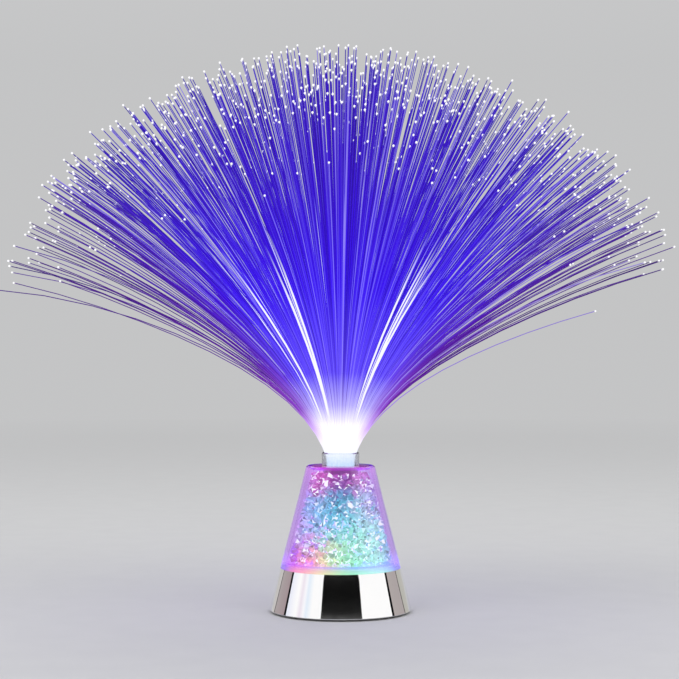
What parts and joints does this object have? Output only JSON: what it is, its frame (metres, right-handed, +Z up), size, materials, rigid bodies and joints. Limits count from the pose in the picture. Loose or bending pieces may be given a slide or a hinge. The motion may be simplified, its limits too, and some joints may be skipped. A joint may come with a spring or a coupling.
{
  "type": "fiber optic lamp",
  "caption": "Battery fiber optic lamp: chrome base, clear cone of lit crystals, and a lift-out bundle of blue-violet fibers that fans into a dome.",
  "frame": {"origin": "on the floor under the middle of the base", "axes": "+Z up along the lamp's axis, -Y to the front, +X to the right as the picture shows it"},
  "size_m": [0.4002, 0.3202, 0.327],
  "materials": {
    "chrome_plating": "mirror-bright chrome plating on ABS, slightly satin",
    "black_plastic": "fine moulded texture",
    "screw_steel": "zinc-plated",
    "contact_steel": "nickel-plated strip and wire",
    "foot_rubber": "matt",
    "cell_jacket": "plain printed sleeve, no lettering",
    "board": "green solder mask",
    "led_resin": "water-clear resin",
    "chip_black": "moulded epoxy, bare",
    "resistor_body": "ceramic with tinned ends",
    "wire_insulation": "red and black insulation",
    "reflector_white": "glossy white",
    "clear_acrylic": "polished clear acrylic, lit violet at its edges",
    "crystal_glass": "faceted and clear, lit pink, blue and green from below",
    "ferrule_black": "smooth",
    "collar_clear": "translucent sleeve",
    "fiber_bound": "fiber ends and flanks glowing white",
    "fiber_strand": "thin polished strands glowing blue-violet, white at the tips"
  },
  "bodies": {
    "lamp": {"base_shell": "chrome_plating", "bottom_cover": "black_plastic", "cover_screws": "screw_steel", "rubber_feet": "foot_rubber", "battery_1": "cell_jacket", "battery_2": "cell_jacket", "battery_3": "cell_jacket", "front_contacts": "contact_steel", "rear_contacts": "contact_steel", "contact_springs": "contact_steel", "switch_body": "contact_steel", "led_board": "board", "board_screws": "screw_steel", "fiber_led": "led_resin", "crystal_leds": "led_resin", "control_chip": "chip_black", "resistors": "resistor_body", "wires": "wire_insulation", "light_deck": "reflector_white", "crystal_cone": "clear_acrylic", "cone_floor": "clear_acrylic", "top_plate": "clear_acrylic", "center_tube": "clear_acrylic", "crystals": "crystal_glass"},
    "bundle": {"bundle_ferrule": "ferrule_black", "bundle_collar": "collar_clear", "fiber_core": "fiber_bound", "strands_crown": "fiber_strand", "strands_mid": "fiber_strand", "strands_skirt": "fiber_strand"},
    "door": {"battery_door": "black_plastic", "door_screw": "screw_steel"},
    "slider": {"switch_slider": "black_plastic"}
  },
  "joints": [
    {"name": "bundle_lift", "type": "slide", "parent": "lamp", "child": "bundle", "axis": [0, 0, 1], "range_m": [0, 0.06]},
    {"name": "door_swing", "type": "hinge", "parent": "lamp", "child": "door", "pos_m": [0, -0.0263, 0.001], "axis": [-1, 0, 0], "range_deg": [0, 25]},
    {"name": "switch_slide", "type": "slide", "parent": "lamp", "child": "slider", "axis": [0, 1, 0], "range_m": [0, 0.0035]}
  ]
}
